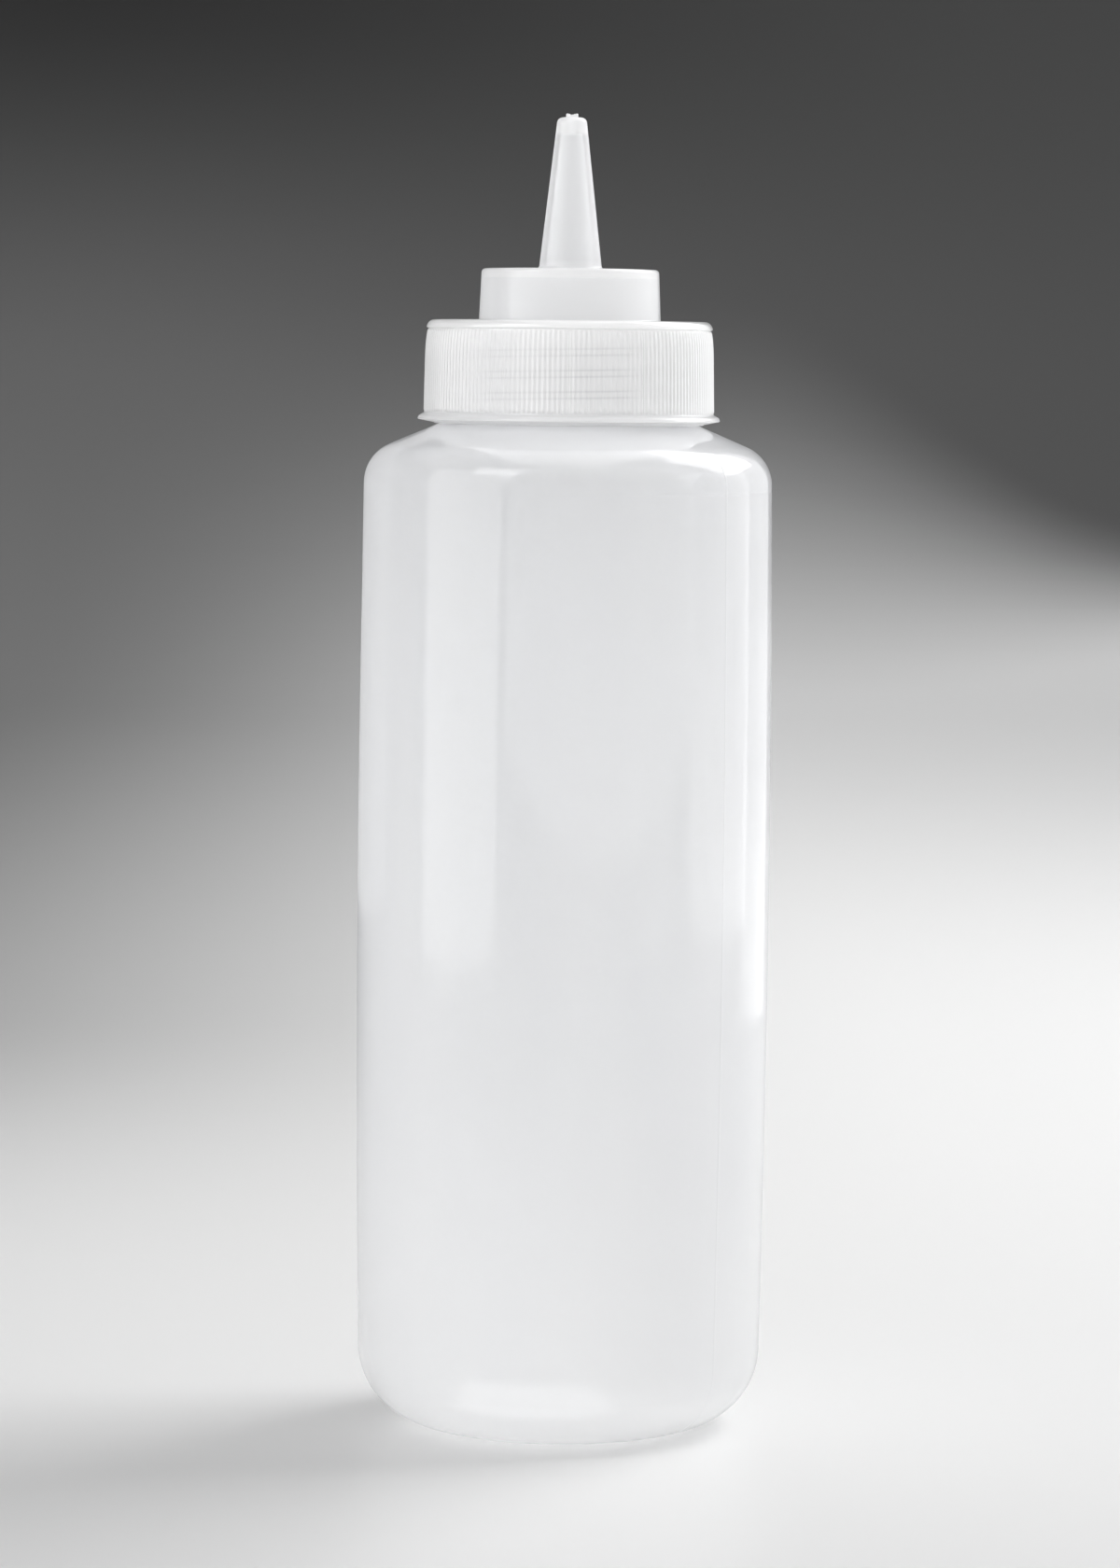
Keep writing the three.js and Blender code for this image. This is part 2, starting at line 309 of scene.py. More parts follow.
def thread_rule(tree, given, x, y, z, radius, azimuth):
    """A ridge that climbs one pitch a turn and fades in and out at its ends. It moves only the
    points that lie on the bare wall, within ON_WALL of its radius."""
    pitch = given["Pitch"]
    behind = (given["Top azimuth"] - azimuth) / math.tau
    turn = ((z - given["Top height"]) / pitch + behind).make("ROUND")
    back = behind - turn
    away = (z - given["Top height"] + back * pitch).size()
    ridge = ramp(tree, away, given["Root width"] / 2, given["Crest width"] / 2)
    to_end = back.make("MINIMUM", given["Turns"] - back)
    fade = ramp(tree, to_end, 0.0, given["Fade"])
    return given["Height"] * ridge * fade * (radius - given["Wall radius"]).size().under(ON_WALL)


thread_tree = relief_tree(
    "screw thread",
    ["Pitch", "Height", "Root width", "Crest width", "Top height", "Top azimuth", "Turns", "Fade",
     "Wall radius"],
    thread_rule,
)

SPLIT_MOUTH = 0.00022
SPLIT_BOTTOM = 0.00004


def rib_rule(tree, given, x, y, z, radius, azimuth):
    """Round-topped ribs, which fade at the flange and thin out under the deck's corner.
    Where two parts of the mould met, a fine groove runs up between them. It is given by the
    distance from its middle to its mouth and to the edge of its flat bottom."""
    wave = (azimuth * given["Count"]).make("COSINE") * 0.5 + 0.5
    for split in ("Split A", "Split B"):
        groove = ramp(tree, from_upright_plane(x, y, given[split]), SPLIT_MOUTH, SPLIT_BOTTOM)
        wave = wave - groove * given["Split depth"] / given["Depth"]
    foot = ramp(tree, z, given["Foot"], given["Foot"] + given["Foot fade"])
    top = ramp(tree, z, given["Top"], given["Top"] - given["Top fade"])
    return given["Depth"] * wave * foot * top * radius.over(given["Inner radius"])


rib_tree = relief_tree(
    "grip ribs",
    ["Count", "Depth", "Split A", "Split B", "Split depth", "Foot", "Foot fade", "Top", "Top fade",
     "Inner radius"],
    rib_rule,
)

SEAM_TOP_FADE = 0.004
HEEL_UNDERSIDE = 0.0035
SEAM_STARTS = 0.0003
SEAM_FULL = 0.0012


def parting_rule(tree, given, x, y, z, radius, azimuth):
    """The fine raised line where the mould's halves met, down the side and under the heel. It
    starts just clear of the floor, so that the bottle still stands on its own foot."""
    ridge = ramp(tree, from_upright_plane(x, y, given["Azimuth"]), given["Width"], 0.0)
    below_top = ramp(tree, z, given["Top"], given["Top"] - SEAM_TOP_FADE)
    off_floor = ramp(tree, z, SEAM_STARTS, SEAM_FULL)
    outside = radius.over(given["Inner radius"]).make("MAXIMUM", z.under(HEEL_UNDERSIDE))
    return given["Height"] * ridge * below_top * off_floor * outside


parting_tree = relief_tree(
    "parting line", ["Azimuth", "Width", "Height", "Top", "Inner radius"], parting_rule,
    along_normal=True,
)
print("relief trees ready")

# %% [markdown]
# A turned shape starts as a profile: radius and height, going up the outside and back down the
# inside. Each row of the profile becomes a ring of points. A row can be cut several times finer
# than its neighbours, because ribs need many more columns than a plain deck does.

# %% Turned shapes
SAME_POINT = 1e-6
ON_AXIS = 1e-7


def rows_of(points, fine=False):
    return [(r, z, fine) for r, z in points]


def arc(centre_r, centre_z, radius, start, end, steps):
    angles = np.linspace(start, end, steps + 1)
    return [(centre_r + radius * math.cos(a), centre_z + radius * math.sin(a)) for a in angles]


def spread(points, spacing):
    """The same outline with no stretch longer than spacing."""
    out = [points[0]]
    for (r0, z0), (r1, z1) in zip(points, points[1:]):
        parts = max(1, math.ceil(math.hypot(r1 - r0, z1 - z0) / spacing))
        out += [(r0 + (r1 - r0) * i / parts, z0 + (z1 - z0) * i / parts) for i in range(1, parts + 1)]
    return out


def tidy(points):
    """Leaves out points that repeat the one before."""
    out = [points[0]]
    for point in points[1:]:
        if math.hypot(point[0] - out[-1][0], point[1] - out[-1][1]) > SAME_POINT:
            out.append(point)
    return out


def turned(name, rows, azimuths, fineness=1):
    """A closed skin from rows of (radius, height, fine). Rows on the axis become single points.
    Where a fine ring meets a coarse one, each wide face becomes a fan of triangles."""
    columns = len(azimuths)
    fine = np.concatenate([
        np.linspace(a, b, fineness, endpoint=False)
        for a, b in zip(azimuths, np.append(azimuths[1:], azimuths[0] + math.tau))
    ])
    points, rings = [], []
    for radius, z, is_fine in rows:
        angles = fine if is_fine else azimuths
        if radius < ON_AXIS:
            rings.append((len(points), 0))
            points.append((0.0, 0.0, z))
            continue
        rings.append((len(points), len(angles)))
        points += [(radius * math.cos(a), radius * math.sin(a), z) for a in angles]
    faces = []
    pairs = list(zip(rings, rings[1:]))
    if rows[0][0] > ON_AXIS:
        pairs.append((rings[-1], rings[0]))
    for (a, size_a), (b, size_b) in pairs:
        if size_a == 0 or size_b == 0:
            ring, size, pole = (b, size_b, a) if size_a == 0 else (a, size_a, b)
            for i in range(size):
                j = (i + 1) % size
                faces.append((pole, ring + j, ring + i) if size_a == 0 else (ring + i, ring + j, pole))
        elif size_a == size_b:
            for i in range(size_a):
                j = (i + 1) % size_a
                faces.append((a + i, a + j, b + j, b + i))
        else:
            for i in range(columns):
                j = (i + 1) % columns
                few, many, size = (a, b, size_b) if size_a < size_b else (b, a, size_a)
                run = [many + (i * fineness + k) % size for k in range(fineness + 1)]
                half = fineness // 2
                fans = [(few + i, run[k], run[k + 1]) for k in range(half)]
                fans.append((few + i, run[half], few + j))
                fans += [(few + j, run[k], run[k + 1]) for k in range(half, fineness)]
                up = size_a < size_b
                faces += [(p, r, q) if up else (p, q, r) for p, q, r in fans]
    mesh = bpy.data.meshes.new(name)
    mesh.from_pydata(points, [], faces)
    mesh.validate()
    mesh.update()
    piece = bpy.data.objects.new(name, mesh)
    bpy.context.scene.collection.objects.link(piece)
    return piece


def smooth(piece, angle=math.radians(32)):
    """Rounds off the shading, and keeps real edges that turn by more than the angle."""
    piece.data.shade_smooth()
    piece.data.set_sharp_from_angle(angle=angle)


print("turning ready")

# %% [markdown]
# Milky low-density polyethylene is neither clear nor opaque: light enters, scatters and comes out
# close by. Paint would look dead, and clear glass would look wet. Two effects serve every piece:
# a slow cloudiness that comes from blowing and cooling, and the pale scuffs of a shelf. They put
# out plain numbers, so each finish can decide what to do with them.

# %% Shared effects
def shader_group(name, inputs, outputs, build):
    tree = bpy.data.node_groups.new(name, "ShaderNodeTree")
    for label, start in inputs.items():
        socket = tree.interface.new_socket(label, in_out="INPUT", socket_type="NodeSocketFloat")
        socket.default_value = start
    for label, kind in outputs.items():
        tree.interface.new_socket(label, in_out="OUTPUT", socket_type=kind)
    source = tree.nodes.new("NodeGroupInput")
    result = tree.nodes.new("NodeGroupOutput")
    given = {label: Number(tree, source.outputs[label]) for label in inputs}
    made = build(tree, given)
    for label, value in made.items():
        feed(tree, result.inputs[label], value)
    return tree


def object_place(tree, scale=(1, 1, 1)):
    mapping = tree.nodes.new("ShaderNodeMapping")
    mapping.inputs["Scale"].default_value = scale
    tree.links.new(tree.nodes.new("ShaderNodeTexCoord").outputs["Object"], mapping.inputs["Vector"])
    return mapping.outputs[0]


def noise(tree, place, scale, detail=3.0, roughness=0.5):
    node = tree.nodes.new("ShaderNodeTexNoise")
    tree.links.new(place, node.inputs["Vector"])
    node.inputs["Scale"].default_value = scale
    node.inputs["Detail"].default_value = detail
    node.inputs["Roughness"].default_value = roughness
    return Number(tree, node.outputs[0])


def build_haze(tree, given):
    """Slow cloudiness in the wall, drawn out along the direction the plastic was blown."""
    clouds = noise(tree, object_place(tree, (1, 1, 0.25)), 60.0, 2.0)
    flecks = noise(tree, object_place(tree), 900.0, 2.0)
    value = (clouds - 0.5) * given["Clouds"] + (flecks - 0.5) * given["Flecks"]
    return {"Haze": value}


haze_group = shader_group(
    "plastic haze", {"Clouds": 0.1, "Flecks": 0.03}, {"Haze": "NodeSocketFloat"}, build_haze
)


def build_scuffs(tree, given):
    """Fine pale scratches and rubbed specks, denser on some sides than on others."""
    long_marks = noise(tree, object_place(tree, (7, 7, 0.5)), 240.0, 4.0, 0.6)
    patches = noise(tree, object_place(tree, (1, 1, 0.6)), 28.0, 2.0)
    specks = noise(tree, object_place(tree), 1500.0, 1.0)
    marks = ramp(tree, long_marks, 0.64, 0.72) * ramp(tree, patches, 0.46, 0.6)
    dots = ramp(tree, specks, 0.73, 0.78) * ramp(tree, patches, 0.46, 0.6)
    worn_side = ramp(tree, parts(tree, object_place(tree))[0], 0.006, -0.02, 0.12, 1.0)
    return {"Scuffs": (marks + dots * 0.7) * worn_side * given["Amount"]}


scuff_group = shader_group("shelf scuffs", {"Amount": 1.0}, {"Scuffs": "NodeSocketFloat"}, build_scuffs)
print("shared effects ready")

# %% [markdown]
# Each plastic is a mix of three things. The first is a soft gloss under a clearer coat. The second
# is glow, light that comes through the wall from behind. The third is what is simply seen through
# the wall, much of it square on and almost none of it along the wall, so the outline reads solid.
# Where a moulding is thick right across, it looks whiter and lets less be seen. Those heights are
# listed: a blown bottle is thickest at its base, and a cap at its deck, its roof and its plug. The
# bottle's heel and lower side are set whiter and more solid than their thickness alone: painted light
# for the light that the pale floor throws up into them.
# A thread's flanks are the places where light gets lost between cap and bottle. That loss is painted
# shade: the flanks of the real threads are darkened, and dark lines are painted again on the skirt
# outside them, because seeing through a skin that also scatters shows them more faintly than the
# real plastic does.

# %% Plastic finishes
HAZE = {"Clouds": 0.5, "Flecks": 0.12}
FROM_THE_FLOOR = -1.0
GRAZING = 0.06
THIN_STEP = 0.002
GLOW_BLUR = 0.0008
# Painted shade on thread flanks: its blur, and the tilts where it starts and where it is full.
FLANK_BLUR = 0.0005
FLANK_TILT_FROM = 0.4
FLANK_TILT_FULL = 0.75
# The painted shade of the thread's lines on the skirt: their blur, place and width, and the patches where
# they show.
PAINTED_LINE_BLUR = 0.001
PAINTED_LINE_FROM_CREST = 0.00064
PAINTED_LINE_HALF_WIDTH = 0.00036
PAINTED_LINE_PATCHES = 3
PAINTED_LINE_PATCH_TURN = math.radians(93)


def use(tree, group, **values):
    node = tree.nodes.new("ShaderNodeGroup")
    node.node_tree = group
    for label, value in values.items():
        node.inputs[label].default_value = value
    return Number(tree, node.outputs[0])


def mix_colour(tree, share, dark, light):
    node = tree.nodes.new("ShaderNodeMix")
    node.data_type = "RGBA"
    feed(tree, node.inputs["Factor"], share)
    for slot, colour in ((node.inputs[6], dark), (node.inputs[7], light)):
        feed(tree, slot, (*colour, 1) if isinstance(colour, tuple) else colour)
    return node.outputs[2]


def mix_shaders(tree, share, first, second):
    node = tree.nodes.new("ShaderNodeMixShader")
    feed(tree, node.inputs["Fac"], share)
    tree.links.new(first.outputs[0], node.inputs[1])
    tree.links.new(second.outputs[0], node.inputs[2])
    return node


def thickness(tree, z, thick):
    """How solid the moulding is at a height, 0 to 1."""
    solid = 0.0
    for low, high, strength, blur in thick:
        band = between(tree, z, low - blur, high + blur, 2 * blur)
        solid = maths(tree, "MAXIMUM", solid, band * strength)
    return solid


def painted_thread_shade(tree, x, y, z, slope, flank_shade):
    """Painted shade on the steep sides of a thread, which lie in the given heights and radii."""
    radius = from_axis(x, y)
    in_thread = radius.over(flank_shade["inner"]) * radius.under(flank_shade["outer"])
    return (ramp(tree, slope.size(), FLANK_TILT_FROM, FLANK_TILT_FULL) * in_thread
            * between(tree, z, flank_shade["low"], flank_shade["high"], FLANK_BLUR))


def painted_thread_lines(tree, x, y, z, rows):
    """Painted shade: dark lines on the two flanks of every turn of thread, drawn on the outside of the skirt
    in patches.
    """
    azimuth = y.make("ARCTAN2", x)
    turns = (z - CAP_THREAD_TOP) / THREAD_PITCH + (CAP_THREAD_AZIMUTH - azimuth) / math.tau
    from_crest = (turns - turns.make("ROUND")).size() * THREAD_PITCH
    flank = ramp(tree, (from_crest - PAINTED_LINE_FROM_CREST).size(), PAINTED_LINE_HALF_WIDTH, 0.0)
    on_skirt = between(tree, z, rows["low"], rows["high"], PAINTED_LINE_BLUR) * from_axis(x, y).over(rows["inner"])
    patches = ramp(tree, ((azimuth + PAINTED_LINE_PATCH_TURN) * PAINTED_LINE_PATCHES).make("COSINE"), -0.3, 0.4)
    clouds = ramp(tree, noise(tree, object_place(tree), 38.0, 0.0), 0.4, 0.6, 0.08, 0.27)
    return flank * on_skirt * patches * clouds


def milky_plastic(name, dark, light, cover, thick, roughness, scuffs, coat=1.0,
                  glow=((FROM_THE_FLOOR, 0.45),), thin_above=None, flank_shade=None, rows=None):
    """cover is how much of the light one surface stops, seen square on. thick lists (low, high,
    strength, blur) of heights where the moulding is thick. glow lists (height, share): from each
    height up, that share of the surface glows. thin_above is (height, cover) of a thinner part."""
    material = bpy.data.materials.new(name)
    material.use_nodes = True
    tree = material.node_tree
    shader = tree.nodes["Principled BSDF"]
    where = tree.nodes.new("ShaderNodeTexCoord")
    x, y, z = parts(tree, where.outputs["Object"])
    haze = use(tree, haze_group, **HAZE)
    rub = use(tree, scuff_group, Amount=scuffs)
    solid = thickness(tree, z, thick)
    colour = mix_colour(tree, haze + 0.5 + solid * 0.5 + rub * 0.4, dark, light)
    # Painted shade: the steep flanks of a thread are darkened, where light is lost between cap and bottle.
    if flank_shade:
        slope = parts(tree, where.outputs["Normal"])[2]
        colour = mix_colour(tree, painted_thread_shade(tree, x, y, z, slope, flank_shade), colour, flank_shade["shade"])
    # Painted shade: dark lines of the cap's thread, drawn on the outside of the skirt.
    if rows:
        colour = mix_colour(tree, painted_thread_lines(tree, x, y, z, rows), colour, rows["shade"])
    tree.links.new(colour, shader.inputs["Base Color"])
    feed(tree, shader.inputs["Roughness"], haze * 0.1 + roughness + rub * 0.2)
    shader.inputs["IOR"].default_value = 1.51
    shader.inputs["Specular IOR Level"].default_value = 1.0
    shader.inputs["Coat Weight"].default_value = coat
    shader.inputs["Coat Roughness"].default_value = roughness * 0.4
    bump = tree.nodes.new("ShaderNodeBump")
    bump.inputs["Strength"].default_value = 0.1
    bump.inputs["Distance"].default_value = 0.0003
    feed(tree, bump.inputs["Height"], haze * 0.3 + rub * 0.3)
    tree.links.new(bump.outputs[0], shader.inputs["Normal"])
    from_behind = tree.nodes.new("ShaderNodeBsdfTranslucent")
    tree.links.new(colour, from_behind.inputs["Color"])
    glowing = glow[0][1]
    for (_, before), (height, after) in zip(glow, glow[1:]):
        step = ramp(tree, z, height - GLOW_BLUR, height + GLOW_BLUR, 0.0, after - before)
        glowing = glowing + step
    wall = mix_shaders(tree, glowing, shader, from_behind)
    facing = tree.nodes.new("ShaderNodeLayerWeight")
    facing.inputs["Blend"].default_value = 0.5
    square_on = maths(tree, "MAXIMUM", 1 - Number(tree, facing.outputs["Facing"]), GRAZING)
    if thin_above:
        cover = ramp(tree, z, thin_above[0], thin_above[0] + THIN_STEP, cover, thin_above[1])
    passed = maths(tree, "POWER", 1 - cover, 1.0 / square_on)
    seen = mix_shaders(tree, passed * (1 - solid * 0.8), wall, tree.nodes.new("ShaderNodeBsdfTransparent"))
    tree.links.new(seen.outputs[0], tree.nodes["Material Output"].inputs["Surface"])
    return material


THICK_BLUR = 0.00035
LOWEST_PAINTED_LINE = 0.2082
bottle_plastic = milky_plastic(
    "natural bottle plastic", dark=(0.878, 0.884, 0.903), light=(0.95, 0.951, 0.953), cover=0.42,
    thick=[
        (-0.01, BASE_WALL, 1.0, THICK_BLUR),
        # Partly real thickness, partly painted light: the heel band and the wide band up the lower side are
        # whiter than their thickness.
        (-0.03, 0.014, 0.8, 0.012),
        (-0.1, 0.055, 0.6, 0.055),
    ],
    roughness=0.09, scuffs=0.8,
    # Painted shade on the steep flanks of the neck's thread.
    flank_shade={
        "low": shoulder_z(NECK) + 0.0005, "high": LIP_Z - 0.0003, "inner": NECK + 0.0001, "outer": BELLY,
        "shade": (0.62, 0.63, 0.65),
    },
)
cap_plastic = milky_plastic(
    "natural cap plastic", dark=(0.898, 0.903, 0.922), light=(0.971, 0.971, 0.971), cover=0.5,
    thick=[
        (CAP_FOOT - 0.001, CAP_FOOT + 0.002, 1.0, THICK_BLUR),
        (CAP_FOOT, DECK_TOP, 0.85, THICK_BLUR),
        (DECK_UNDER, DECK_TOP, 1.0, THICK_BLUR),
        (DECK_TOP, DRUM_TOP, 0.3, THICK_BLUR),
        (DRUM_TOP - DRUM_ROOF, DRUM_TOP, 1.0, THICK_BLUR),
        (NOZZLE_TOP - NOZZLE_PLUG, NOZZLE_TOP + 0.01, 0.5, 0.0006),
    ],
    roughness=0.2, scuffs=0.2,
    glow=((FROM_THE_FLOOR, 0.5), (CAP_FOOT + 0.0028, 0.275), (DECK_TOP, 0.5)), thin_above=(DRUM_TOP, 0.37),
    # Painted shade on the steep flanks of the cap's own thread.
    flank_shade={
        "low": CAP_FOOT + 0.0015, "high": DECK_UNDER - 0.0012,
        "inner": CAP_BORE - CAP_THREAD_HEIGHT, "outer": CAP_BORE + 0.00003, "shade": (0.42, 0.43, 0.45),
    },
    # Painted shade: the thread's dark lines on the outside of the skirt.
    rows={
        "low": LOWEST_PAINTED_LINE, "high": DECK_UNDER - 0.001, "inner": CAP_BORE + 0.001,
        "shade": (0.5, 0.51, 0.53),
    },
)
washer_foam = milky_plastic(
    "washer foam", dark=(0.84, 0.84, 0.83), light=(0.92, 0.92, 0.91), cover=0.97, thick=[],
    roughness=0.7, scuffs=0.0, coat=0.0,
)
print("plastics ready")

# %% [markdown]
# The bottle is blown from a soft tube in a two-part mould. That leaves its marks: a shallow barrel
# that is not quite true, a fine raised line down both sides and under the heel, a faint ring where
# the shoulder insert met the body, and a dished base with a pinched seam.
# The columns of points crowd together at the parting line, so that the fine ridge is real.

# %% Bottle profile
BASE_ROUND = 0.0015
NECK_FILLET = 0.0009
LIP_ROUND = 0.0005
THREAD_ROW_SPACING = 0.00019
SAME_ANGLE = 1e-5


def barrel_radius(z):
    """Radius of the side: a parabola through its foot, its middle and its top."""
    share = (z - HEEL) / (BARREL_TOP - HEEL)
    return (FOOT_RADIUS * (1 - share) * (1 - 2 * share) + BELLY * 4 * share * (1 - share)
            + TOP_RADIUS * share * (2 * share - 1))


def bottle_rows():
    base = arc(RECESS_RADIUS - 2 * BASE_ROUND, RECESS_DEPTH - BASE_ROUND, BASE_ROUND, math.pi / 2, 0, 6)
    base += arc(RECESS_RADIUS, BASE_ROUND, BASE_ROUND, math.pi, 1.5 * math.pi, 6)
    heel = arc(FOOT_RADIUS - HEEL, HEEL, HEEL, -math.pi / 2, 0, 22)
    line = [INSERT_LINE_Z + d for d in (-0.0008, -0.0005, -0.0003, -0.00015, 0, 0.00015, 0.0003, 0.0005)]
    side_heights = (*np.linspace(HEEL, INSERT_LINE_Z - 0.0015, 60), *line, BARREL_TOP)
    side = [(barrel_radius(z), z) for z in side_heights]
    corner = arc(TOP_RADIUS - CORNER, BARREL_TOP, CORNER, 0, CORNER_END, 14)
    neck_foot = [(NECK + NECK_FILLET, shoulder_z(NECK + NECK_FILLET)),
                 (NECK, shoulder_z(NECK) + NECK_FILLET * 0.6)]
    outside = tidy(
        spread([(0, RECESS_DEPTH), base[0]], 0.002) + base + heel + side + corner
        + spread([corner[-1], neck_foot[0]], 0.0012) + neck_foot
        + spread([neck_foot[-1], (NECK, LIP_Z - LIP_ROUND)], THREAD_ROW_SPACING)
        + arc(NECK - LIP_ROUND, LIP_Z - LIP_ROUND, LIP_ROUND, 0, math.pi / 2, 4)
    )
    drop = WALL / math.cos(SLOPE)
    inner_corner = arc(TOP_RADIUS - CORNER, BARREL_TOP, CORNER - WALL, CORNER_END, 0, 8)
    inner_side = [(barrel_radius(z) - WALL, z) for z in np.linspace(BARREL_TOP, HEEL, 24)]
    inner_heel = arc(FOOT_RADIUS - HEEL, HEEL, HEEL - WALL, 0, -math.pi / 2 + SLOPE, 12)
    inside = tidy(
        arc(NECK_BORE + LIP_ROUND, LIP_Z - LIP_ROUND, LIP_ROUND, math.pi / 2, math.pi, 4)
        + [(NECK_BORE, shoulder_z(NECK_BORE) - drop + NECK_FILLET),
           (NECK_BORE + NECK_FILLET, shoulder_z(NECK_BORE + NECK_FILLET) - drop)]
        + inner_corner + inner_side + inner_heel
        + [(RECESS_RADIUS + BASE_ROUND, BASE_WALL),
           (RECESS_RADIUS - BASE_ROUND, RECESS_DEPTH + BASE_WALL), (0, RECESS_DEPTH + BASE_WALL)]
    )
    return rows_of(tidy(outside + inside))


def seam_azimuths(count=240, crowd=(0.00004, 0.0001, 0.00018, 0.00028, 0.0005)):
    """Even columns, with extra ones close to each side of the parting line."""
    even = np.linspace(0, math.tau, count, endpoint=False)
    near = [SEAM_AZIMUTH + half + side * step / BELLY
            for half in (0, math.pi) for step in (0, *crowd) for side in (-1, 1)]
    every = np.sort(np.mod(np.append(even, near), math.tau))
    keep = np.append(np.diff(every) > SAME_ANGLE, True)
    return every[keep]


HOLLOW_DEPTH = 0.00005
DEEPEST_WAVE = 1.95
HOLLOWS_START = 0.008
HOLLOWS_FULL_IN = 0.03
HOLLOWS_END_IN = 0.02
INSERT_LINE_DEPTH = 0.00006
INSERT_LINE_WIDTH = 0.0003


def soften(piece):
    """Blown walls are never quite true: slow hollows no deeper than a hair, and the insert's line,
    which shows only on the side that the light grazes."""
    co = np.zeros(len(piece.data.vertices) * 3)
    piece.data.vertices.foreach_get("co", co)
    co = co.reshape(-1, 3)
    radius = np.hypot(co[:, 0], co[:, 1])
    azimuth = np.arctan2(co[:, 1], co[:, 0])
    height = co[:, 2]
    on_side = (np.clip((height - HOLLOWS_START) / HOLLOWS_FULL_IN, 0, 1)
               * np.clip((BARREL_TOP - height) / HOLLOWS_END_IN, 0, 1))
    wave = (np.sin(2 * azimuth + 0.6 + height * 11) + 0.6 * np.sin(3 * azimuth - 1.1 - height * 17)
            + 0.35 * np.sin(5 * azimuth + 2.0 + height * 26))
    hollow = HOLLOW_DEPTH * (wave - DEEPEST_WAVE) * on_side
    line = INSERT_LINE_DEPTH * np.exp(-((height - INSERT_LINE_Z) / INSERT_LINE_WIDTH) ** 2)
    line *= (radius > TOP_RADIUS - 0.0006) * np.clip(np.cos(azimuth + 0.2), 0, 1)
    co[:, :2] *= ((radius + hollow - line) / np.maximum(radius, ON_AXIS))[:, None]
    piece.data.vertices.foreach_set("co", co.ravel())
    piece.data.update()
    return piece


# %% [markdown]
# Each relief goes on as a Geometry Nodes tree with its sizes in the piece's own modifier.
# The parting line comes first. The thread comes after it, because a thread moves only points that
# still lie on the bare neck.

# %% Bottle
bottle = soften(turned("bottle_shell", bottle_rows(), seam_azimuths()))
press(bottle, parting_tree, bottle_plastic, **{
    "Azimuth": SEAM_AZIMUTH, "Width": 0.00034, "Height": 0.00004, "Top": SLOPE_Z, "Inner radius": 0.0238,
})
press(bottle, thread_tree, bottle_plastic, **{
    "Pitch": THREAD_PITCH, "Height": THREAD_HEIGHT, "Root width": THREAD_ROOT, "Crest width": THREAD_CREST,
    "Top height": THREAD_TOP, "Top azimuth": THREAD_AZIMUTH, "Turns": THREAD_TURNS, "Fade": RUN_OUT,
    "Wall radius": NECK,
})
smooth(bottle)
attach(bottle, "bottle")
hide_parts("bottle")
print("bottle", len(bottle.data.polygons), "faces")

# %% [markdown]
# The cap is one moulding, so it is one closed skin too: mouth, flange, ribbed skirt, deck, drum,
# nozzle and nib on the outside, then the nozzle's bore, the drum's hollow and the threaded bore.

# %% Cap profile
RIB_COUNT = 180
RIB_DEPTH = 0.00018
RIB_CROWN = 0.0056
RIB_CROWN_INSET = 0.0006
RIB_FADE = 0.0009
SKIRT_WALL = 0.00223
SKIRT_DRAFT = 0.00033
DECK_CORNER = 0.0016
LEDGE = 0.00012
MOUTH = CAP_BORE + 0.00015
MOUTH_RIM = 0.00055
FLANGE_UNDER = CAP_FOOT + 0.0008
FLANGE_THICK = 0.0008
FLANGE_DRAFT = 0.0002
FLANGE_EDGE = 0.00015
FLANGE_TOP = FLANGE_UNDER + 0.00125
RIB_TOP = DECK_TOP - DECK_CORNER - RIB_DEPTH

DRUM_DRAFT = 0.0004
DRUM_FILLET = 0.0003
DRUM_CORNER = 0.0008
DRUM_WALL = 0.0015
NOZZLE_FOOT = 0.0063
NOZZLE_FILLET = 0.0009
NOZZLE_TIP = 0.00305
NOZZLE_TIP_ROUND = 0.0012
NOZZLE_WALL = 0.00115
NOZZLE_LEAN = 0.11
NIB_STUMP = 0.0003
ORIFICE = 0.00075
INNER_EDGE = 0.0004


def rib_crest(z):
    """Radius of the ribs' crests: drafted like the skirt, and rounded in towards the deck."""
    draft = SKIRT_DRAFT * (RIB_TOP - z) / (RIB_TOP - FLANGE_TOP)
    share = max(0.0, (z - RIB_TOP + RIB_CROWN) / RIB_CROWN)
    inset = RIB_CROWN_INSET * (1 - math.sqrt(max(0.0, 1 - share * share)))
    return CAP_BORE + SKIRT_WALL + draft + RIB_DEPTH - inset


def skirt_rows():
    """Flange and skirt, up to the ledge under the deck's corner. The ribs' rows are cut finer."""
    rim, lip = MOUTH + MOUTH_RIM, FLANGE_UNDER + FLANGE_THICK
    flange = [(MOUTH, CAP_FOOT), (rim - FLANGE_EDGE, CAP_FOOT), (rim, CAP_FOOT + FLANGE_EDGE),
              (FLANGE - FLANGE_EDGE, FLANGE_UNDER - 0.00004), (FLANGE, FLANGE_UNDER + FLANGE_EDGE),
              (FLANGE - FLANGE_DRAFT, lip - FLANGE_EDGE), (FLANGE - FLANGE_DRAFT - FLANGE_EDGE, lip)]
    foot = rib_crest(FLANGE_TOP) - RIB_DEPTH
    root = [(foot + 0.0004, FLANGE_TOP - 0.00012), (foot + 0.0001, FLANGE_TOP + 0.00005)]
    near_flange = np.linspace(FLANGE_TOP + 0.00025, FLANGE_TOP + 0.0012, 5)
    plain_side = np.linspace(FLANGE_TOP + 0.003, RIB_TOP - RIB_CROWN, 5)
    crown = np.linspace(RIB_TOP - RIB_CROWN, RIB_TOP - 0.0012, 7)[1:]
    under_deck = np.linspace(RIB_TOP - 0.001, RIB_TOP, 7)
    ribs = [(rib_crest(z) - RIB_DEPTH * min(1, (RIB_TOP + LEDGE - z) / RIB_FADE), z)
            for z in (*near_flange, *plain_side, *crown, *under_deck)]
    return rows_of(tidy(flange + root)) + rows_of(ribs, fine=True)


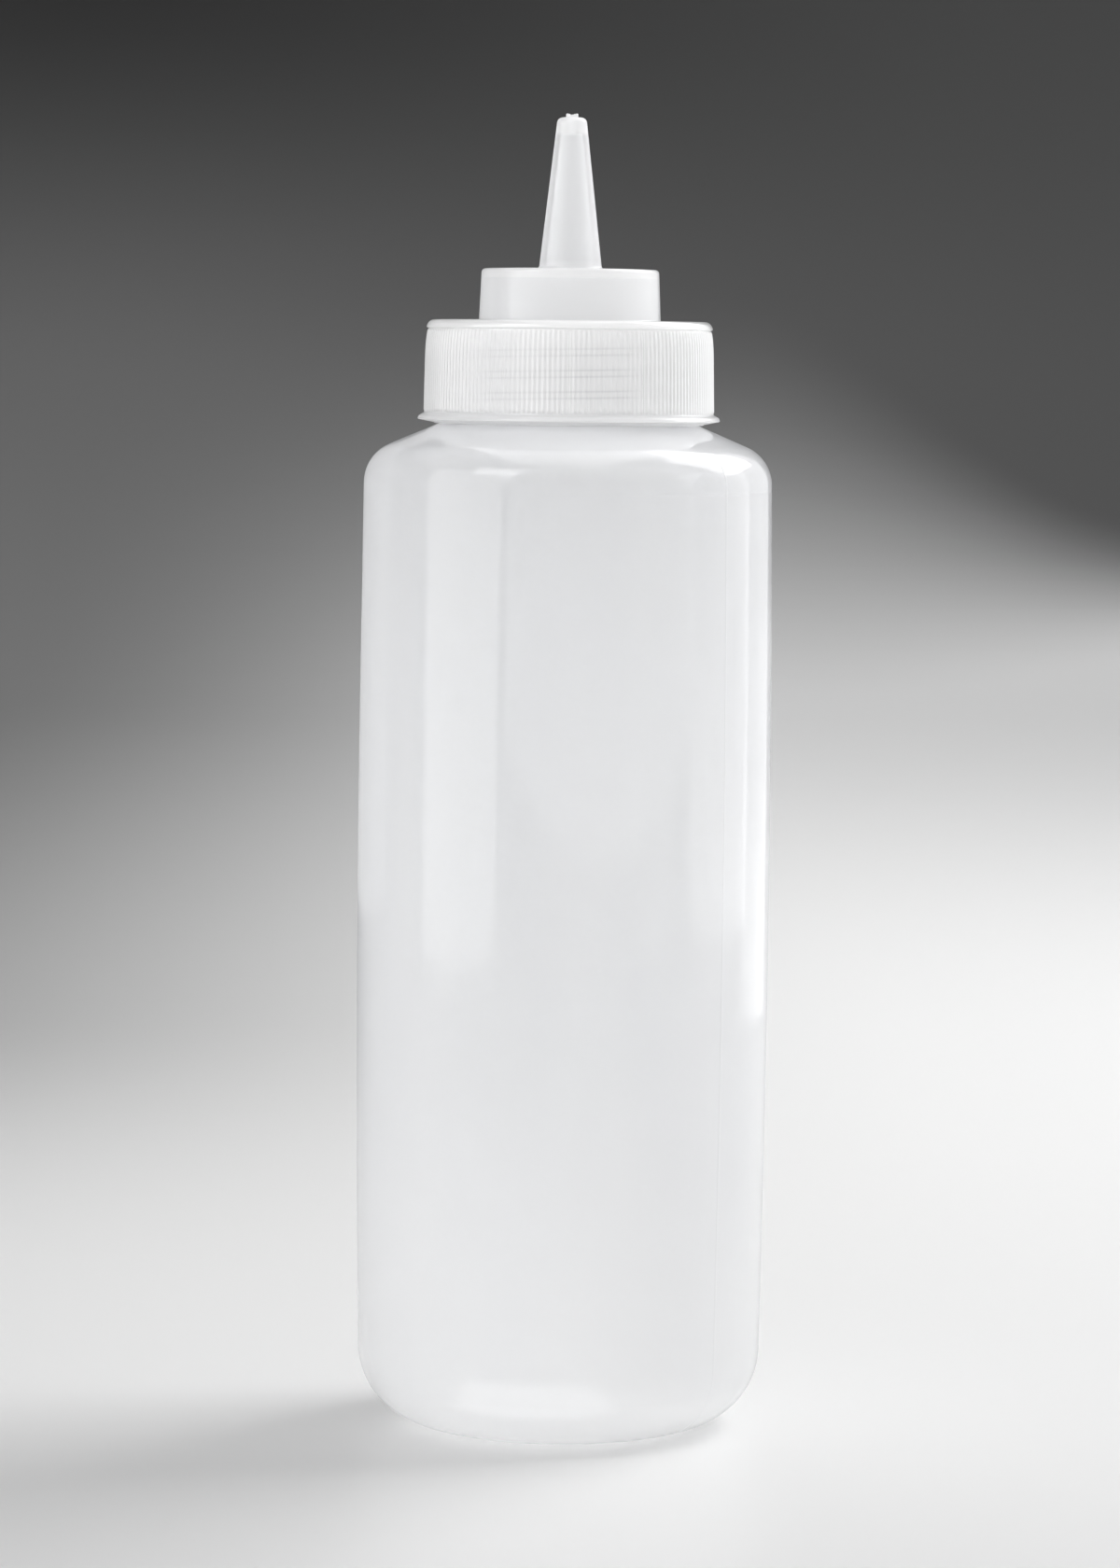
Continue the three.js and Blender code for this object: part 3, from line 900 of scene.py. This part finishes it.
def top_rows():
    """From the ledge over the deck, the drum and the nozzle to the rim of the nib."""
    deck_edge = CAP_BORE + SKIRT_WALL
    ledge = [(deck_edge - LEDGE, RIB_TOP + LEDGE), (deck_edge - 0.00002, RIB_TOP + 0.0002)]
    corner = arc(deck_edge - DECK_CORNER, DECK_TOP - DECK_CORNER, DECK_CORNER, 0.06, math.pi / 2, 9)
    drum_foot = arc(DRUM + DRUM_FILLET, DECK_TOP + DRUM_FILLET, DRUM_FILLET, 1.5 * math.pi, math.pi, 4)
    drum_corner = arc(DRUM - DRUM_DRAFT - DRUM_CORNER, DRUM_TOP - DRUM_CORNER, DRUM_CORNER, 0, math.pi / 2, 7)
    nozzle_foot = arc(NOZZLE_FOOT + NOZZLE_FILLET, DRUM_TOP + NOZZLE_FILLET, NOZZLE_FILLET,
                      1.5 * math.pi, math.pi + NOZZLE_LEAN, 7)
    tip = arc(NOZZLE_TIP - NOZZLE_TIP_ROUND, NOZZLE_TOP - NOZZLE_TIP_ROUND, NOZZLE_TIP_ROUND,
              NOZZLE_LEAN, math.pi / 2, 7)
    nib = [(0.0014, NOZZLE_TOP), (0.00125, NOZZLE_TOP + 0.00012), (0.00122, NOZZLE_TOP + 0.00045),
           (0.0012, cap_high.z - 0.00005), (0.00112, cap_high.z), (0.00083, cap_high.z),
           (ORIFICE, cap_high.z - 0.00008)]
    return rows_of(tidy(
        ledge + corner + spread([corner[-1], drum_foot[0]], 0.003)
        + drum_foot + spread([drum_foot[-1], drum_corner[0]], 0.002)
        + drum_corner + spread([drum_corner[-1], nozzle_foot[0]], 0.003)
        + nozzle_foot + spread([nozzle_foot[-1], tip[0]], 0.002) + tip + nib
    ))


def bore_rows():
    """From the orifice down the nozzle's bore, the drum's hollow and the threaded bore."""
    plug = NOZZLE_TOP - NOZZLE_PLUG
    share = (plug - DRUM_TOP) / (NOZZLE_TOP - DRUM_TOP)
    bore_top = NOZZLE_FOOT + (NOZZLE_TIP - NOZZLE_FOOT) * share - NOZZLE_WALL
    roof, drum_inside = DRUM_TOP - DRUM_ROOF, DRUM - DRUM_DRAFT - DRUM_WALL
    inside = [(ORIFICE, plug + 0.0003), (0.0009, plug), (bore_top - 0.0003, plug),
              (bore_top, plug - INNER_EDGE)]
    inside += spread([inside[-1], (NOZZLE_FOOT - NOZZLE_WALL, DRUM_TOP)], 0.004)
    inside += [(0.0061, roof), (drum_inside - INNER_EDGE, roof), (drum_inside, roof - INNER_EDGE),
               (DRUM - DRUM_WALL, DECK_UNDER + DRUM_FILLET), (DRUM - DRUM_WALL + DRUM_FILLET, DECK_UNDER),
               (CAP_BORE - INNER_EDGE, DECK_UNDER), (CAP_BORE, DECK_UNDER - INNER_EDGE)]
    inside += spread([inside[-1], (CAP_BORE, CAP_FOOT + 0.0012)], THREAD_ROW_SPACING)
    return rows_of(tidy(inside))


def tear_nib(piece):
    """The nib was torn from its runner: its rim stands in two ragged horns."""
    for vertex in piece.data.vertices:
        rise = vertex.co.z - NOZZLE_TOP
        if rise > NIB_STUMP:
            azimuth = math.atan2(vertex.co.y, vertex.co.x)
            ragged = 0.12 * math.sin(5 * azimuth + 0.7) + 0.08 * math.sin(11 * azimuth)
            share = min(1.0, 0.55 + 0.45 * abs(math.cos(azimuth)) ** 1.5 + ragged * 0.5 - 0.1)
            vertex.co.z = NOZZLE_TOP + NIB_STUMP + (rise - NIB_STUMP) * max(0.2, share)
    return piece


# %% [markdown]
# The ribs need six columns where the deck needs one, so only their rows are cut that fine.
# The two fine grooves between the ribs stand where the mould of the skirt was split. The thread of
# the cap is the same screw as the neck's, turned inside out: its height is less than nothing.

# %% Cap
even_columns = np.linspace(0, math.tau, 240, endpoint=False)
cap_profile = skirt_rows() + top_rows() + bore_rows()
cap = tear_nib(turned("nozzle_cap_moulding", cap_profile, even_columns, fineness=6))
press(cap, rib_tree, cap_plastic, **{
    "Count": RIB_COUNT, "Depth": RIB_DEPTH, "Split A": math.radians(-90), "Split B": math.radians(-60),
    "Split depth": 0.0002, "Foot": FLANGE_TOP + 0.0001, "Foot fade": 0.0007,
    "Top": RIB_TOP + 0.0001, "Top fade": RIB_FADE, "Inner radius": CAP_BORE + SKIRT_WALL * 0.75,
})
press(cap, thread_tree, cap_plastic, **{
    "Pitch": THREAD_PITCH, "Height": -CAP_THREAD_HEIGHT, "Root width": CAP_THREAD_ROOT,
    "Crest width": CAP_THREAD_CREST, "Top height": CAP_THREAD_TOP, "Top azimuth": CAP_THREAD_AZIMUTH,
    "Turns": CAP_THREAD_TURNS, "Fade": RUN_OUT, "Wall radius": CAP_BORE,
})
smooth(cap)
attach(cap, "cap")
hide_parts("nozzle_cap")
print("cap", len(cap.data.polygons), "faces")

# %% [markdown]
# The washer is a plain punched ring of foam. Its edges are a little crushed, so they are rounded.

# %% Washer
def washer_rows():
    inner, edge = 0.0224, 0.0002
    low, high, outer = washer_low.z, washer_high.z, washer_high.x
    quarter = math.pi / 2
    ring = arc(inner + edge, low + edge, edge, math.pi, 1.5 * math.pi, 3)
    ring += arc(outer - edge, low + edge, edge, -quarter, 0, 3)
    ring += arc(outer - edge, high - edge, edge, 0, quarter, 3)
    ring += arc(inner + edge, high - edge, edge, quarter, math.pi, 3)
    return rows_of(tidy(ring))


washer = turned("sealing_washer_ring", washer_rows(), even_columns)
washer.data.materials.append(washer_foam)
smooth(washer)
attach(washer, "washer")
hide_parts("sealing_washer")
print("washer", len(washer.data.polygons), "faces")

# %% [markdown]
# The stage is one round bowl of matt paper: a flat floor, a bend, and a wall all the way round, so
# that every side of the object has paper behind it. Its greys are painted on, and most of them are
# painted light and shade for how the lamps fall off over the stage. The floor is pale, a little paler
# far out, with painted shade on the side of the shadow. The wall is darker, with painted shade
# darkest at the top, and its dark part comes down further at the right. Only the floor has a trace of gloss.

# %% Stage
FLOOR_RADIUS, BEND, WALL_TOP = 2.2, 1.0, 2.6


def bowl_rows():
    floor = [(r, 0.0) for r in (0.0, 0.1, 0.3, 0.7, 1.2, 1.7, FLOOR_RADIUS)]
    bend = [(FLOOR_RADIUS + BEND * math.sin(a), BEND - BEND * math.cos(a))
            for a in np.linspace(0, math.pi / 2, 20)[1:]]
    return rows_of(floor + bend + [(FLOOR_RADIUS + BEND, WALL_TOP)])


def grey(level):
    return (level, level, level)


bowl = turned("studio_bowl", bowl_rows(), np.linspace(0, math.tau, 96, endpoint=False))
bowl.data.flip_normals()
bowl.data.shade_smooth()
paper = bpy.data.materials.new("studio paper with painted shade")
paper.use_nodes = True
tree = paper.node_tree
surface = tree.nodes["Principled BSDF"]
surface.inputs["Roughness"].default_value = 0.45
x, y, z = parts(tree, tree.nodes.new("ShaderNodeTexCoord").outputs["Object"])
out_from_middle = from_axis(x, y)
along_paper = out_from_middle + z * 0.8
# Painted shade: the wall's dark part comes down further at the right.
right_end = ramp(tree, x, 0.12, 0.42)
floor_share = ramp(tree, along_paper, 3.09 - right_end * 0.36, right_end * 0.2 + 2.24)
# Painted shade: the wall darkens towards its top, more steeply at the left.
top_shade = ramp(tree, along_paper, 2.95, 3.5)
# Painted shade on the floor's left, the side of the key's shadow.
shaded_side = ramp(tree, x, 0.12, -0.36) * ramp(tree, out_from_middle, 0.1, 0.7)
left_wall = mix_colour(tree, top_shade, grey(0.195), grey(0.053))
right_wall = mix_colour(tree, top_shade, grey(0.13), grey(0.104))
wall_with_painted_shade = mix_colour(tree, ramp(tree, x, -0.42, 0.42), left_wall, right_wall)
# Painted light: the floor is a little paler far out, where the lamps fall off.
floor_with_painted_light = mix_colour(tree, ramp(tree, out_from_middle, 0.5, 1.6), grey(0.8), grey(0.87))
tone = mix_colour(tree, floor_share * (1 - shaded_side * 0.9), wall_with_painted_shade, floor_with_painted_light)
tree.links.new(tone, surface.inputs["Base Color"])
feed(tree, surface.inputs["Specular IOR Level"], floor_share * 0.12)
bowl.data.materials.append(paper)
print("bowl", len(bowl.data.polygons), "faces")

# %% [markdown]
# The lamps are soft boxes where the photograph's were. The key stands high behind on the right and
# throws the shadow to the left. Tall windows of light on both sides draw the long pale streaks.
# Milky plastic, pale floor and dark backdrop can't all be right under one set of lamps, so these
# are told what to light, as screens and flags do in a studio. Most leave the floor alone. The
# floor has four of its own, and one wide one of these casts no shadow, so that the key's shadow
# stays a soft grey. The overhead lamp is doubled, so that the cap doesn't shade the bottle's
# shoulder, where light inside milky plastic would fill the shade. A lamp under the floor stands for
# the light that a large pale table throws up. Two lamps show only in the gloss, as a ceiling does.

# %% Lamps
LAMP_AIM = Vector((0, 0, 0.14))


def linked(name, pieces, state):
    """A collection that a lamp is told to light alone (INCLUDE), or to leave out (EXCLUDE)."""
    collection = bpy.data.collections.new(name)
    for number, piece in enumerate(pieces):
        collection.objects.link(piece)
        collection.collection_objects[number].light_linking.link_state = state
    return collection


receivers = {
    "object": linked("all but the floor", [bowl], "EXCLUDE"),
    "floor": linked("floor alone", [bowl], "INCLUDE"),
    "bottle": linked("bottle alone", [bottle], "INCLUDE"),
    "cap": linked("cap and washer alone", [cap, washer], "INCLUDE"),
}
let_by = linked("pieces that cast no shadow from the floor light", [bottle, cap, washer], "EXCLUDE")
cap_lets_by = linked("cap casts no shadow on the shoulder", [cap, washer], "EXCLUDE")


def softbox(name, turn, tilt, distance, size, radiance, lights="object", past=None, only_shine=False):
    """A soft square lamp, turned from the camera's side (right is plus) and tilted up, in degrees.
    lights names what it lights, and past is a collection that doesn't cast its shadow."""
    light = bpy.data.lights.new(name, "AREA")
    light.shape = "RECTANGLE"
    light.size, light.size_y = size
    light.energy = radiance * size[0] * size[1] * math.pi
    holder = bpy.data.objects.new(name, light)
    turn, tilt = math.radians(turn), math.radians(tilt)
    side = Vector((math.sin(turn) * math.cos(tilt), -math.cos(turn) * math.cos(tilt), math.sin(tilt)))
    holder.location = LAMP_AIM + distance * side
    holder.rotation_euler = side.to_track_quat("Z", "Y").to_euler()
    holder.visible_camera = False
    holder.visible_diffuse = holder.visible_transmission = not only_shine
    holder.light_linking.receiver_collection = receivers[lights]
    if past:
        holder.light_linking.blocker_collection = past
    bpy.context.scene.collection.objects.link(holder)


softbox("left window", -60, 11, 0.8, (0.7, 0.85), 1.8)
softbox("left window top", -45, 42, 0.7, (0.3, 0.18), 3.8)
softbox("left back", -143, 11, 0.9, (0.95, 0.62), 0.42)
softbox("front fill", 20, 12, 1.3, (3.6, 1.1), 1.11)
softbox("from the table", -18, -52, 0.5, (0.6, 0.4), 1.12, past=receivers["object"])
softbox("right side", 96, 11, 0.9, (0.85, 0.84), 1.27)
softbox("right strip", 133, 14, 0.6, (0.4, 0.58), 0.86)
softbox("overhead", 172, 79, 1.2, (0.9, 1.6), 1.22, lights="cap")
softbox("overhead on the bottle", 172, 79, 1.2, (0.9, 1.6), 1.22, lights="bottle", past=cap_lets_by)
softbox("shine of the ceiling", 172, 79, 1.2, (0.9, 1.6), 1.0, only_shine=True)
softbox("shine above the front", 20, 50, 1.3, (3.6, 0.76), 1.15, only_shine=True)
softbox("key behind right", 125, 42, 1.3, (0.9, 0.9), 3.9)
softbox("cap from the left", -80, 15, 0.6, (0.4, 0.4), 0.5, lights="cap")
softbox("cap from the right", 95, 12, 0.6, (0.4, 0.4), 0.3, lights="cap")
softbox("key on the floor", 125, 42, 1.3, (0.9, 0.9), 5.0, lights="floor")
softbox("floor light", 165, 50, 3.0, (3.2, 3.0), 1.5, lights="floor", past=let_by)
softbox("floor light from above", 0, 90, 2.0, (0.8, 0.8), 1.9, lights="floor")
softbox("floor light with shadow", 165, 50, 3.0, (3.2, 3.0), 0.2, lights="floor")
world = bpy.data.worlds.new("studio")
bpy.context.scene.world = world
world.use_nodes = True
background = world.node_tree.nodes["Background"]
background.inputs["Color"].default_value = (0.99, 0.992, 1.0, 1)
background.inputs["Strength"].default_value = 0.33
print("lamps ready")

# %% [markdown]
# The light tree is a way to choose among many lamps. Without it the picture is the same
# and takes half as long.

# %% Finish
bpy.context.scene.cycles.use_light_tree = False
